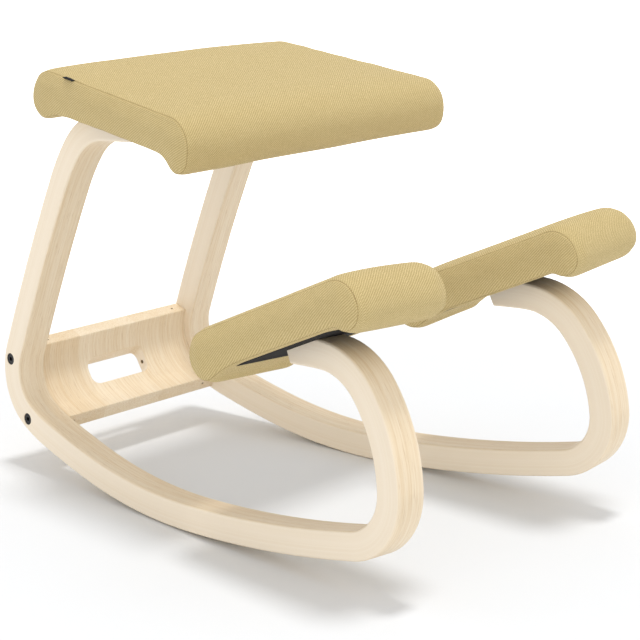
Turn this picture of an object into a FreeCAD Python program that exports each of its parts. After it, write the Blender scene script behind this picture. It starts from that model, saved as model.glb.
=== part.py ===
import FreeCAD, Part
import math
import os
from FreeCAD import Placement, Rotation, Vector

# A rocking kneeling chair: two bent laminated runners, a moulded panel that joins them at the heel,
# an upholstered seat and two upholstered knee pads. Millimetres, +Z up, the sitter faces -Y,
# and the origin is on the floor under the middle of the chair.

SIZES = {
    # runner section and stance
    "runner_width": 39.0,
    "runner_thickness": 32.5,
    "runner_edge_radius": 3.0,
    "runner_half_spacing": 171.0,
    "runner_splay": 3.5,
    "runner_lean": 2.3,
    "floor_contact": 31.0,
    # bends of the runner's centreline, from the floor contact back and up to the seat arm
    "rear_rocker_radius": 680.0,
    "rear_rocker_turn": 13.0,
    "heel_run_radius": 1375.0,
    "heel_run_turn": 3.5,
    "heel_flare_radius": 180.0,
    "heel_flare_turn": 12.0,
    "heel_bend_radius": 64.0,
    "heel_bend_turn": 82.0,
    "leg_radius": 2800.0,
    "leg_turn": 5.0,
    "shoulder_radius": 265.0,
    "shoulder_turn": 11.5,
    "seat_bend_radius": 83.0,
    "seat_bend_turn": 48.0,
    "seat_arm_length": 113.0,
    # bends from the floor contact forward and up to the pad arm
    "front_rocker_radius": 750.0,
    "front_rocker_turn": 3.5,
    "toe_run_radius": 1560.0,
    "toe_run_turn": 10.0,
    "toe_bend_radius": 65.0,
    "toe_bend_turn": 81.5,
    "toe_rise_radius": 175.0,
    "toe_rise_turn": 35.5,
    "knee_bend_radius": 83.0,
    "knee_bend_turn": 51.5,
    "pad_arm_radius": 765.0,
    "pad_arm_turn": 6.0,
    # panel between the runners, moulded to the heel bend
    "panel_thickness": 19.0,
    "panel_inset": 4.0,
    "panel_toe_length": 26.0,
    "panel_top_length": 4.5,
    "panel_edge_radius": 1.5,
    "slot_width": 96.0,
    "slot_height": 33.5,
    "slot_corner_radius": 11.0,
    "slot_edge_radius": 2.5,
    "slot_slope": 45.0,
    "slot_offset": 16.2,
    "slot_end_hole_radius": 2.75,
    "slot_end_hole_depth": 14.0,
    # bolts through the runners into inserts in the panel
    "bolt_radius": 3.0,
    "bolt_head_radius": 7.2,
    "bolt_head_height": 5.0,
    "bolt_head_sink": 0.6,
    "bolt_reach": 20.0,
    "hex_socket": 5.0,
    "insert_radius": 4.5,
    "insert_length": 22.0,
    "upper_bolt_turn": 71.0,
    "lower_bolt_turn": -2.0,
    "lock_pin_radius": 1.7,
    "lock_pin_sink": 1.5,
    "lock_pin_from_end": 18.0,
    # seat cushion
    "seat_centre_back": 86.0,
    "seat_centre_height": 480.0,
    "seat_slope": 7.5,
    "seat_width": 410.0,
    "seat_flare": 4.2,
    "seat_thickness": 46.0,
    "seat_front_reach": 145.5,
    "seat_front_top_radius": 33.5,
    "seat_front_roll_radius": 19.0,
    "seat_front_roll_drop": 15.5,
    "seat_front_blend_radius": 30.0,
    "seat_rear_reach": 142.0,
    "seat_rear_top_radius": 33.0,
    "seat_rear_roll_radius": 22.0,
    "seat_rear_roll_drop": 10.5,
    "seat_rear_blend_radius": 120.0,
    "seat_crown": 3.0,
    "seat_window_front": -76.0,
    "seat_window_rear": 76.0,
    # knee pads, set in the runner's own plane
    "pad_centre_back": -204.5,
    "pad_centre_height": 287.0,
    "pad_slope": -24.3,
    "pad_width": 128.0,
    "pad_thickness": 48.0,
    "pad_front_reach": 131.0,
    "pad_front_top_radius": 31.0,
    "pad_front_roll_radius": 23.0,
    "pad_front_roll_drop": 9.0,
    "pad_front_blend_radius": 15.0,
    "pad_rear_reach": 149.0,
    "pad_rear_top_radius": 30.0,
    "pad_rear_roll_radius": 24.0,
    "pad_rear_roll_drop": 8.0,
    "pad_rear_blend_radius": 200.0,
    "pad_crown": 2.0,
    "pad_arm_tip": 39.5,
    "pad_window_front": -76.0,
    "pad_window_rear": 88.0,
    # upholstery shared by the seat and the pads
    "side_draw_in": 1.2,
    "side_round": 2.5,
    "cover_thickness": 1.2,
    "window_margin": 13.0,
    "window_gap": 0.2,
    "board_thickness": 10.0,
    "board_margin": 16.0,
    "board_corner_radius": 22.0,
    # screws from below through the arms into tee nuts in the boards
    "screw_radius": 3.0,
    "screw_hole_radius": 3.3,
    "screw_head_radius": 6.0,
    "screw_head_height": 3.5,
    "screw_well_radius": 7.0,
    "screw_grip": 8.5,
    "tee_flange_radius": 9.0,
    "tee_flange_height": 1.5,
    "tee_barrel_radius": 4.4,
    "seat_screw_near": -34.0,
    "seat_screw_pitch": 40.0,
    "pad_screw_near": 6.0,
    "pad_screw_pitch": 22.0,
}

RIGHT, LEFT = -1, 1
SIDE_NAMES = {RIGHT: "right", LEFT: "left"}

doc = FreeCAD.newDocument("kneeling_chair")
sheet = doc.addObject("Spreadsheet::Sheet", "Sizes")
for row, (alias, value) in enumerate(SIZES.items(), start=1):
    sheet.set("A%d" % row, alias.replace("_", " "))
    sheet.set("B%d" % row, str(value))
    sheet.setAlias("B%d" % row, alias)
doc.recompute()


def size(alias):
    return float(sheet.get(alias))


def bind(thing, prop, formula):
    thing.setExpression(prop, formula)


HALF_THICK = size("runner_thickness") / 2
HALF_WIDTH = size("runner_width") / 2
# the panel's middle surface, measured out from the runner's centreline
PANEL_MIDDLE = HALF_THICK - size("panel_inset") - size("panel_thickness") / 2


# The runner's bent line

REAR_BENDS = ["rear_rocker", "heel_run", "heel_flare", "heel_bend", "leg", "shoulder", "seat_bend"]
FRONT_BENDS = ["front_rocker", "toe_run", "toe_bend", "toe_rise", "knee_bend", "pad_arm"]


class Bend:
    """One arc of the runner's centreline, in its own plane (y back, z up)."""

    def __init__(self, start, heading, radius, turn, side):
        self.heading = heading
        self.radius = radius
        self.turn = turn
        self.side = side
        inward = heading + side * math.pi / 2
        self.centre = start + Vector(math.cos(inward), math.sin(inward), 0) * radius

    def point(self, turned, outside=0.0):
        """The point reached after turning by an angle, moved out from the bend's centre."""
        angle = self.heading + self.side * (turned - math.pi / 2)
        return self.centre + Vector(math.cos(angle), math.sin(angle), 0) * (self.radius + outside)

    def edge(self, outside, start=0.0, stop=None):
        stop = self.turn if stop is None else stop
        middle = (start + stop) / 2
        return Part.Arc(self.point(start, outside), self.point(middle, outside), self.point(stop, outside))


def follow(names, start, heading, side):
    """Chains the named bends from a point, each one tangent to the last."""
    bends = {}
    for name in names:
        turn = math.radians(size(name + "_turn"))
        bend = Bend(start, heading, size(name + "_radius"), turn, side)
        bends[name] = bend
        start = bend.point(turn)
        heading = heading + side * turn
    return bends, start, heading


CONTACT = Vector(size("floor_contact"), HALF_THICK, 0)
rear, arm_start, arm_heading = follow(REAR_BENDS, CONTACT, 0.0, 1)
front, pad_end, pad_heading = follow(FRONT_BENDS, CONTACT, math.pi, -1)
arm_along = Vector(math.cos(arm_heading), math.sin(arm_heading), 0)
arm_outward = Vector(math.sin(arm_heading), -math.cos(arm_heading), 0)
arm_tip = arm_start + arm_along * size("seat_arm_length")


def face_edges(outside):
    """One long face of the runner, from the seat arm's tip round to the pad arm's end."""
    edges = [Part.LineSegment(arm_tip + arm_outward * outside, arm_start + arm_outward * outside)]
    for name in reversed(REAR_BENDS):
        bend = rear[name]
        edges.append(Part.Arc(*[bend.point(bend.turn * part, outside) for part in (1, 0.5, 0)]))
    for name in FRONT_BENDS:
        edges.append(front[name].edge(outside))
    return edges


def draw(sketch, edges):
    for edge in edges:
        sketch.addGeometry(edge, False)


def polygon(sketch, points):
    for start, stop in zip(points, points[1:] + points[:1]):
        sketch.addGeometry(Part.LineSegment(start, stop), False)


def new_body(name):
    body = doc.addObject("PartDesign::Body", name)
    body.Label = name
    return body


def plane_sketch(body, role, name):
    sketch = body.newObject("Sketcher::SketchObject", name)
    plane = [item for item in body.Origin.OriginFeatures if item.Role == role][0]
    sketch.AttachmentSupport = [(plane, "")]
    sketch.MapMode = "FlatFace"
    return sketch


def pad_through(body, sketch, name, width):
    """A pad of the sketch, half to each side of its plane."""
    pad = body.newObject("PartDesign::Pad", name)
    pad.Profile = sketch
    pad.Midplane = True
    bind(pad, "Length", width)
    return pad


def round_edges(body, before, name, wanted, radius):
    """Rounds the edges of a body's feature that pass a test."""
    doc.recompute()
    names = ["Edge%d" % n for n, edge in enumerate(before.Shape.Edges, start=1) if wanted(edge)]
    fillet = body.newObject("PartDesign::Fillet", name)
    fillet.Base = (before, names)
    bind(fillet, "Radius", radius)
    return fillet


def runner_place(side):
    """A runner's plane leans in towards the seat and splays out towards the knees."""
    lean = size("runner_lean")
    tilt = math.radians(lean)
    # the leaning runner's lowest point is on its rounded inner edge, and stands on the floor
    edge = size("runner_edge_radius")
    lift = (HALF_WIDTH - edge) * math.sin(tilt) + edge * (1 - math.cos(tilt))
    base = Vector(side * size("runner_half_spacing"), 0, lift)
    splay_turn = Rotation(Vector(0, 0, 1), side * size("runner_splay"))
    lean_turn = Rotation(Vector(0, 1, 0), -side * lean)
    return Placement(base, splay_turn * lean_turn)


SEAT_FRAME = Placement(
    Vector(0, size("seat_centre_back"), size("seat_centre_height")),
    Rotation(Vector(1, 0, 0), size("seat_slope")))
PAD_IN_RUNNER = Placement(
    Vector(0, size("pad_centre_back"), size("pad_centre_height")),
    Rotation(Vector(1, 0, 0), size("pad_slope")))


def rest_level(kind):
    """Height of the cushion's flat underside, on which the arms bear, in the cushion's own frame."""
    return -size(kind + "_thickness") / 2


def tool(kind, name, placement, **dims):
    shape = doc.addObject("Part::" + kind, name)
    for prop, value in dims.items():
        if isinstance(value, str):
            bind(shape, prop, value)
        else:
            setattr(shape, prop, value)
    shape.Placement = placement
    return shape


def cut(name, base, tools):
    """The base with every tool taken away, as one object."""
    group = tools[0]
    if len(tools) > 1:
        group = doc.addObject("Part::MultiFuse", name + "_tools")
        group.Shapes = tools
    result = doc.addObject("Part::Cut", name)
    result.Base = base
    result.Tool = group
    result.Label = name
    return result


def along_x(place, point, side, turn_to_side):
    """A placement whose Z runs along the runner plane's X, towards one side."""
    tilt = Rotation(Vector(0, 1, 0), 90 * side * turn_to_side)
    return place * Placement(point, tilt)


def seat_screw_spots(side):
    """Screw places in the seat's frame, on the runner's middle plane."""
    spots = []
    for step in range(2):
        back = size("seat_screw_near") + step * size("seat_screw_pitch")
        world = SEAT_FRAME.multVec(Vector(0, back, rest_level("seat")))
        # slide sideways until the point lies on the runner's middle plane
        local = runner_place(side).inverse().multVec(world)
        across = runner_place(side).Rotation.multVec(Vector(1, 0, 0))
        spots.append(Vector(-local.x / across.x, back, 0))
    return spots


def pad_screw_spots():
    near = size("pad_screw_near")
    return [Vector(0, near + step * size("pad_screw_pitch"), 0) for step in range(2)]


def bolt_points():
    """Bolt centres in the runner's plane, half way through the panel's thickness."""
    spots = {}
    for name in ("upper", "lower"):
        turned = math.radians(size(name + "_bolt_turn"))
        spot = rear["heel_bend"].point(turned, PANEL_MIDDLE)
        spots[name] = Vector(0, spot.x, spot.y)
    return spots


def screw_tools(frame, spots, level, name):
    """Clearance holes and head wells, square to the cushion's board."""
    made = []
    for number, spot in enumerate(spots):
        hole_at = frame * Placement(spot + Vector(0, 0, level - 60), Rotation())
        well_at = frame * Placement(spot + Vector(0, 0, level - 60 - size("screw_grip")), Rotation())
        made.append(tool("Cylinder", "%s_hole_%d" % (name, number), hole_at,
                         Radius="Sizes.screw_hole_radius", Height=70.0))
        made.append(tool("Cylinder", "%s_well_%d" % (name, number), well_at,
                         Radius="Sizes.screw_well_radius", Height=60.0))
    return made


def make_runner(side):
    name = "runner_" + SIDE_NAMES[side]
    body = new_body(name + "_bow")
    outline = plane_sketch(body, "YZ_Plane", name + "_outline")
    outer = face_edges(HALF_THICK)
    inner = face_edges(-HALF_THICK)
    seat_end = Part.LineSegment(arm_tip - arm_outward * HALF_THICK, arm_tip + arm_outward * HALF_THICK)
    last = front["pad_arm"]
    pad_close = Part.LineSegment(last.point(last.turn, HALF_THICK), last.point(last.turn, -HALF_THICK))
    draw(outline, outer + inner + [seat_end, pad_close])
    pad = pad_through(body, outline, name + "_pad", "Sizes.runner_width")
    thickness = size("runner_thickness")

    def along_bow(edge):
        return edge.BoundBox.XLength < 0.01 and abs(edge.Length - thickness) > 0.01

    round_edges(body, pad, name + "_soft_edges", along_bow, "Sizes.runner_edge_radius")

    # the pad arm's top is planed flat to the knee pad and its tip cut square to it
    relief = plane_sketch(body, "YZ_Plane", name + "_pad_seat")
    level = rest_level("pad")
    tip = size("pad_arm_tip")
    corners = [(tip, -70), (tip, level), (-70, level), (-70, 60), (130, 60), (130, -70)]
    spots = [PAD_IN_RUNNER.multVec(Vector(0, back, up)) for back, up in corners]
    polygon(relief, [Vector(spot.y, spot.z, 0) for spot in spots])
    pocket = body.newObject("PartDesign::Pocket", name + "_pad_seat_cut")
    pocket.Profile = relief
    pocket.Midplane = True
    pocket.Type = 1
    body.Placement = runner_place(side)

    place = runner_place(side)
    level = rest_level("seat")
    seat_box = SEAT_FRAME * Placement(Vector(side * 150 - 60, -120, level), Rotation())
    tools = [tool("Box", name + "_seat_plane", seat_box, Length=120.0, Width=200.0, Height=60.0)]
    # behind the flat the arm is eased, where the cushion's underside begins to turn down
    eased_box = SEAT_FRAME * Placement(Vector(side * 150 - 60, 61, level - 1.2), Rotation())
    tools.append(tool("Box", name + "_seat_easing", eased_box, Length=120.0, Width=60.0, Height=60.0))
    tools += screw_tools(SEAT_FRAME, seat_screw_spots(side), level, name + "_seat_screw")
    tools += screw_tools(place * PAD_IN_RUNNER, pad_screw_spots(), rest_level("pad"), name + "_pad_screw")
    for which, spot in bolt_points().items():
        bore_at = along_x(place, spot - Vector(side * 40, 0, 0), side, 1)
        recess = HALF_WIDTH - size("bolt_head_height") - size("bolt_head_sink")
        recess_at = along_x(place, spot + Vector(side * recess, 0, 0), side, 1)
        tools.append(tool("Cylinder", "%s_%s_bore" % (name, which), bore_at,
                          Radius="Sizes.bolt_radius + 0.3", Height=80.0))
        tools.append(tool("Cylinder", "%s_%s_recess" % (name, which), recess_at,
                          Radius="Sizes.bolt_head_radius + 0.3", Height=20.0))
    return cut(name, body, tools)


def make_bolt(side, which):
    """A socket-head bolt with its head sunk in the runner's outer face."""
    name = "%s_bolt_%s" % (which, SIDE_NAMES[side])
    place = runner_place(side)
    spot = bolt_points()[which]
    under_head = HALF_WIDTH - size("bolt_head_height") - size("bolt_head_sink")
    # the bolt is drawn pointing along its own Z, with the head's seat at zero
    at = along_x(place, spot + Vector(side * under_head, 0, 0), side, 1)
    shank_length = under_head + HALF_WIDTH + size("bolt_reach")
    head = tool("Cylinder", name + "_head", Placement(), Radius="Sizes.bolt_head_radius",
                Height="Sizes.bolt_head_height")
    shank = tool("Cylinder", name + "_shank", Placement(Vector(0, 0, -shank_length), Rotation()),
                 Radius="Sizes.bolt_radius", Height=shank_length + 1.0)
    socket = doc.addObject("Part::Prism", name + "_socket")
    socket.Polygon = 6
    bind(socket, "Circumradius", "Sizes.hex_socket / sqrt(3)")
    bind(socket, "Height", "Sizes.bolt_head_height")
    socket.Placement = Placement(Vector(0, 0, 1.8), Rotation())
    solid = doc.addObject("Part::MultiFuse", name + "_blank")
    solid.Shapes = [head, shank]
    bolt = cut(name, solid, [socket])
    bolt.Placement = at
    return bolt


def panel_band(inside):
    """Arcs at one depth inside the runner's outer face, from the toe of the panel to its top."""
    outside = HALF_THICK - inside
    flare, leg = rear["heel_flare"], rear["leg"]
    toe_turn = flare.turn - size("panel_toe_length") / (flare.radius + PANEL_MIDDLE)
    top_turn = size("panel_top_length") / (leg.radius + PANEL_MIDDLE)
    return [flare.edge(outside, start=toe_turn), rear["heel_bend"].edge(outside),
            leg.edge(outside, stop=top_turn)]


def make_panel():
    body = new_body("panel_blank")
    outline = plane_sketch(body, "YZ_Plane", "panel_outline")
    back_face = panel_band(size("panel_inset"))
    front_face = panel_band(size("panel_inset") + size("panel_thickness"))
    toe = Part.LineSegment(back_face[0].StartPoint, front_face[0].StartPoint)
    top = Part.LineSegment(back_face[-1].EndPoint, front_face[-1].EndPoint)
    draw(outline, back_face + front_face + [toe, top])
    pad_through(body, outline, "panel_pad", "Sizes.runner_half_spacing * 2")

    # the hand slot runs down and back through the panel
    heel = rear["heel_bend"]
    slope = math.radians(size("slot_slope"))
    up_normal = Vector(0, math.sin(slope), math.cos(slope))
    centre = Vector(0, heel.centre.x, heel.centre.y) + up_normal * size("slot_offset")
    slot = body.newObject("Sketcher::SketchObject", "hand_slot_outline")
    slot.Placement = Placement(centre, Rotation(Vector(1, 0, 0), 90 - size("slot_slope")))
    rounded_rectangle(slot, size("slot_width"), size("slot_height"), size("slot_corner_radius"))
    hole = body.newObject("PartDesign::Pocket", "hand_slot")
    hole.Profile = slot
    hole.Midplane = True
    hole.Length = 400.0
    middle_radius = heel.radius + PANEL_MIDDLE
    half_panel = size("panel_thickness") / 2

    def slot_rim(edge):
        offsets = [Vector(heel.centre.x - v.Y, heel.centre.y - v.Z, 0).Length - middle_radius
                   for v in edge.Vertexes]
        near_middle = max(abs(v.X) for v in edge.Vertexes) < size("slot_width")
        return near_middle and abs(sum(offsets)) > 1.8 * half_panel

    rims = round_edges(body, hole, "slot_soft_rims", slot_rim, "Sizes.slot_edge_radius")

    def long_edge(edge):
        return edge.BoundBox.XLength > size("runner_half_spacing")

    round_edges(body, rims, "panel_soft_edges", long_edge, "Sizes.panel_edge_radius")

    tools = []
    for side in (RIGHT, LEFT):
        place = runner_place(side)
        name = "panel_" + SIDE_NAMES[side]
        near_face = Vector(-side * HALF_WIDTH, 0, 0)
        corner = near_face + Vector(0 if side > 0 else -200, 200, 0)
        tools.append(tool("Box", name + "_end", place * Placement(corner, Rotation()),
                          Length=200.0, Width=200.0, Height=200.0))
        for which, spot in bolt_points().items():
            at = along_x(place, spot + near_face + Vector(side, 0, 0), side, -1)
            tools.append(tool("Cylinder", "%s_%s_insert_hole" % (name, which), at,
                              Radius="Sizes.insert_radius + 0.1", Height="Sizes.insert_length + 3"))
        for which, (mouth, into, depth) in lock_pin_places(side).items():
            at = Placement(mouth - into * 3, Rotation(Vector(0, 0, 1), into))
            tools.append(tool("Cylinder", "%s_%s_pin_hole" % (name, which), at,
                              Radius="Sizes.lock_pin_radius + 0.1", Height=depth + 3))
        end_at = slot_end_place(side)
        tools.append(tool("Cylinder", name + "_slot_end_hole", end_at,
                          Radius="Sizes.slot_end_hole_radius", Height="Sizes.slot_end_hole_depth + 3"))
    return cut("stretcher_panel", body, tools)


def rounded_rectangle(sketch, width, height, radius):
    """A rectangle about the sketch's origin with quarter-round corners."""
    half_w, half_h = width / 2, height / 2
    diagonal = radius * (1 - math.sqrt(0.5))
    turns = [(1, 1), (-1, 1), (-1, -1), (1, -1)]
    joints = []
    for number, (sx, sy) in enumerate(turns):
        on_side = Vector(sx * half_w, sy * (half_h - radius), 0)
        on_top = Vector(sx * (half_w - radius), sy * half_h, 0)
        middle = Vector(sx * (half_w - diagonal), sy * (half_h - diagonal), 0)
        start, stop = (on_side, on_top) if number % 2 == 0 else (on_top, on_side)
        sketch.addGeometry(Part.Arc(start, middle, stop), False)
        joints.append((start, stop))
    for number in range(4):
        sketch.addGeometry(Part.LineSegment(joints[number][1], joints[(number + 1) % 4][0]), False)


def slot_end_place(side):
    """A blind hole in the slot's end wall, at the middle of the panel's thickness."""
    slope = math.radians(size("slot_slope"))
    heel = rear["heel_bend"]
    middle = heel.radius + PANEL_MIDDLE
    offset = size("slot_offset")
    along = math.sqrt(middle ** 2 - offset ** 2)
    centre = Vector(0, heel.centre.x, heel.centre.y)
    spot = centre + Vector(0, math.sin(slope), math.cos(slope)) * offset
    spot = spot + Vector(0, math.cos(slope), -math.sin(slope)) * along
    spot.x = side * (size("slot_width") / 2 - 3)
    return Placement(spot, Rotation(Vector(0, 1, 0), 90 * side))


def lock_pin_places(side):
    """Cross holes from the panel's top and toe faces down to the inserts beside each runner."""
    leg, flare = rear["leg"], rear["heel_flare"]
    top_turn = size("panel_top_length") / (leg.radius + PANEL_MIDDLE)
    toe_turn = flare.turn - size("panel_toe_length") / (flare.radius + PANEL_MIDDLE)
    mouths = {"upper": leg.point(top_turn, PANEL_MIDDLE), "lower": flare.point(toe_turn, PANEL_MIDDLE)}
    places = {}
    for which, spot in bolt_points().items():
        along_bolt = Vector(-side * (HALF_WIDTH + size("lock_pin_from_end")), 0, 0)
        target = runner_place(side).multVec(spot + along_bolt)
        mouth = Vector(target.x, mouths[which].x, mouths[which].y)
        reach = target - mouth
        depth = reach.Length - size("insert_radius") - 0.4
        places[which] = (mouth, reach.normalize(), depth)
    return places


def make_insert(side, which):
    """A threaded insert in the panel's end, in line with a bolt."""
    name = "%s_insert_%s" % (which, SIDE_NAMES[side])
    place = runner_place(side)
    spot = bolt_points()[which]
    at = along_x(place, spot + Vector(-side * (HALF_WIDTH + 0.2), 0, 0), side, -1)
    barrel = tool("Cylinder", name + "_barrel", Placement(), Radius="Sizes.insert_radius",
                  Height="Sizes.insert_length")
    bore = tool("Cylinder", name + "_bore", Placement(), Radius="Sizes.bolt_radius + 0.1",
                Height="Sizes.insert_length")
    insert = cut(name, barrel, [bore])
    insert.Placement = at
    return insert


def make_lock_pins():
    """Pins that bear on the inserts, one group of separate solids."""
    pins = []
    sink = size("lock_pin_sink")
    for side in (RIGHT, LEFT):
        for mouth, into, depth in lock_pin_places(side).values():
            start = mouth + into * sink
            pins.append(Part.makeCylinder(size("lock_pin_radius"), depth - sink, start, into))
    return group_of("insert_lock_pins", pins)


def group_of(name, shapes):
    feature = doc.addObject("Part::Feature", name)
    feature.Label = name
    feature.Shape = Part.makeCompound(shapes)
    return feature


# Cushions: a side profile with a rolled front and rear, lofted across the width

def cushion_profile(kind, inset, crown):
    """The profile in the cushion's own YZ plane, as a closed wire of lines and arcs."""
    half = size(kind + "_thickness") / 2
    blend_level = -half
    corners = {}
    for end, way in (("front", -1), ("rear", 1)):
        reach = size("%s_%s_reach" % (kind, end))
        top_radius = size("%s_%s_top_radius" % (kind, end))
        roll_radius = size("%s_%s_roll_radius" % (kind, end))
        drop = size("%s_%s_roll_drop" % (kind, end))
        blend = size("%s_%s_blend_radius" % (kind, end))
        top_centre = Vector(0, way * (reach - top_radius), half - top_radius + crown)
        roll_centre = Vector(0, way * (reach - roll_radius), -half - drop + roll_radius)
        rise = roll_centre.z - (blend_level - blend)
        run = math.sqrt((roll_radius + blend) ** 2 - rise ** 2)
        blend_centre = Vector(0, roll_centre.y - way * run, blend_level - blend)
        corners[end] = (way, top_centre, top_radius - inset, roll_centre, roll_radius - inset,
                        blend_centre, blend + inset)

    def end_edges(end):
        """The end's edges from the top line to the flat underside."""
        way, top_centre, top_radius, roll_centre, roll_radius, blend_centre, blend = corners[end]
        top = top_centre + Vector(0, 0, top_radius)
        top_side = top_centre + Vector(0, way * top_radius, 0)
        top_mid = top_centre + Vector(0, way, 1) * (top_radius * math.sqrt(0.5))
        roll_side = roll_centre + Vector(0, way * roll_radius, 0)
        roll_low = roll_centre - Vector(0, 0, roll_radius)
        roll_mid = roll_centre + Vector(0, way, -1) * (roll_radius * math.sqrt(0.5))
        inward = (blend_centre - roll_centre).normalize()
        meet = roll_centre + inward * roll_radius
        low_mid = (inward - Vector(0, 0, 1)).normalize()
        flat = blend_centre + Vector(0, 0, blend)
        blend_mid = (Vector(0, 0, 1) - inward).normalize()
        return [
            Part.Arc(top, top_mid, top_side).toShape(),
            Part.LineSegment(top_side, roll_side).toShape(),
            Part.Arc(roll_side, roll_mid, roll_low).toShape(),
            Part.Arc(roll_low, roll_centre + low_mid * roll_radius, meet).toShape(),
            Part.Arc(meet, blend_centre + blend_mid * blend, flat).toShape(),
        ], top, flat

    front_edges, front_top, front_flat = end_edges("front")
    rear_edges, rear_top, rear_flat = end_edges("rear")
    underside = Part.LineSegment(front_flat, rear_flat).toShape()
    top_line = Part.LineSegment(rear_top, front_top).toShape()
    return Part.Wire(front_edges + [underside] + rear_edges[::-1] + [top_line])


def cushion_solid(kind, inset):
    """The stuffed shape: crowned across, flared in plan, its sides drawn in at the seams."""
    half_width = size(kind + "_width") / 2 - inset
    flare = size("seat_flare") if kind == "seat" else 0.0
    rounding = size("side_round")
    draw_in = size("side_draw_in")
    body_half = half_width - rounding

    def section(side, extra_inset, outward, crown):
        wire = cushion_profile(kind, inset + extra_inset, crown)
        turn = Rotation(Vector(0, 0, 1), side * flare)
        wire.Placement = Placement(Vector(side * body_half, 0, 0), turn) * Placement(
            Vector(side * outward, 0, 0), Rotation())
        return wire

    def middle():
        return cushion_profile(kind, inset, size(kind + "_crown"))

    main = Part.makeLoft([section(-1, 0, 0, 0), middle(), section(1, 0, 0, 0)], True, False)
    solid = main
    for side in (-1, 1):
        steps = [(0, 0), (0.35 * draw_in, 0.7 * rounding), (draw_in, rounding)]
        for (inset_a, out_a), (inset_b, out_b) in zip(steps, steps[1:]):
            cap = Part.makeLoft([section(side, inset_a, out_a, 0), section(side, inset_b, out_b, 0)], True, True)
            solid = solid.fuse(cap)
    return solid.removeSplitter()


def window_box(kind, gap):
    """A box through the underside's flat, where the under-cloth shows inside the cover's hem."""
    first = size(kind + "_window_front") + gap
    last = size(kind + "_window_rear") - gap
    half = size(kind + "_width") / 2 - size("window_margin") - gap
    top = rest_level(kind) + size("cover_thickness") + 1
    return Part.makeBox(2 * half, last - first, 60, Vector(-half, first, top - 60))


def board_outline(kind):
    """The board's corners in plan, a margin inside the cushion."""
    margin = size("board_margin")
    half = size(kind + "_width") / 2 - margin
    front_edge = -(size(kind + "_front_reach") - margin * 1.4)
    rear_edge = size(kind + "_rear_reach") - margin * 1.4
    spread = math.tan(math.radians(size("seat_flare"))) if kind == "seat" else 0.0
    front_half = half - front_edge * spread
    rear_half = half - rear_edge * spread
    return [Vector(-front_half, front_edge, 0), Vector(front_half, front_edge, 0),
            Vector(rear_half, rear_edge, 0), Vector(-rear_half, rear_edge, 0)]


def make_board(kind, name, frame, spots):
    """A flat plywood board with round corners and holes for its tee nuts."""
    underside = rest_level(kind) + size("cover_thickness")
    body = new_body(name + "_blank")
    sketch = plane_sketch(body, "XY_Plane", name + "_outline")
    rounded_polygon(sketch, board_outline(kind), size("board_corner_radius"))
    pad = body.newObject("PartDesign::Pad", name + "_plate")
    pad.Profile = sketch
    bind(pad, "Length", "Sizes.board_thickness")
    lift = Placement(Vector(0, 0, underside), Rotation())
    body.Placement = frame * lift
    tools = []
    for number, spot in enumerate(spots):
        at = frame * Placement(Vector(spot.x, spot.y, underside - 1), Rotation())
        tools.append(tool("Cylinder", "%s_barrel_hole_%d" % (name, number), at,
                          Radius="Sizes.tee_barrel_radius + 0.1", Height=size("board_thickness") + 2))
        flange_level = underside + size("board_thickness") - size("tee_flange_height")
        at = frame * Placement(Vector(spot.x, spot.y, flange_level - 0.1), Rotation())
        tools.append(tool("Cylinder", "%s_flange_hole_%d" % (name, number), at,
                          Radius="Sizes.tee_flange_radius + 0.1", Height=4.0))
    return cut(name, body, tools)


def rounded_polygon(sketch, points, radius):
    count = len(points)
    joints = []
    for number, corner in enumerate(points):
        back = (points[number - 1] - corner).normalize()
        ahead = (points[(number + 1) % count] - corner).normalize()
        half_angle = back.getAngle(ahead) / 2
        reach = radius / math.tan(half_angle)
        bisector = (back + ahead).normalize()
        middle = corner + bisector * (radius / math.sin(half_angle) - radius)
        start, stop = corner + back * reach, corner + ahead * reach
        sketch.addGeometry(Part.Arc(start, middle, stop), False)
        joints.append((start, stop))
    for number in range(count):
        start, stop = joints[number][1], joints[(number + 1) % count][0]
        sketch.addGeometry(Part.LineSegment(start, stop), False)


def placed_feature(name, shape, frame):
    feature = doc.addObject("Part::Feature", name)
    feature.Label = name
    feature.Shape = shape
    feature.Placement = frame
    return feature


def make_upholstery(kind, name, frame):
    """Cover, foam and under-cloth, nested about the board."""
    cloth = size("cover_thickness")
    outer = cushion_solid(kind, 0)
    inner = cushion_solid(kind, cloth)
    shell = outer.cut(inner)
    cover = shell.cut(window_box(kind, 0))
    under = shell.common(window_box(kind, size("window_gap")))
    spots = pad_screw_spots() if kind == "pad" else seat_screw_spots(RIGHT) + seat_screw_spots(LEFT)
    for spot in spots:
        low = Vector(spot.x, spot.y, rest_level(kind) - 5)
        under = under.cut(Part.makeCylinder(size("screw_hole_radius"), 10, low))

    corners = board_outline(kind)
    plate = Part.Face(Part.makePolygon(corners + corners[:1])).extrude(Vector(0, 0, size("board_thickness")))
    upright = [edge for edge in plate.Edges if edge.BoundBox.ZLength > 1]
    plate = plate.makeFillet(size("board_corner_radius"), upright)
    plate.translate(Vector(0, 0, rest_level(kind) + cloth))
    foam = inner.cut(plate)
    return [placed_feature(name + "_cover", cover, frame),
            placed_feature(name + "_foam", foam, frame),
            placed_feature(name + "_under_cloth", under, frame)]


def tee_nut():
    """A flange on a barrel with a clear bore, drawn with the flange's top at zero."""
    thick = size("board_thickness")
    flange_height = size("tee_flange_height")
    flange = Part.makeCylinder(size("tee_flange_radius"), flange_height, Vector(0, 0, -flange_height))
    barrel = Part.makeCylinder(size("tee_barrel_radius"), thick - 0.3, Vector(0, 0, 0.3 - thick))
    bore = Part.makeCylinder(size("screw_radius") + 0.1, thick + 2, Vector(0, 0, -thick - 1))
    return flange.fuse(barrel).cut(bore)


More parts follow.
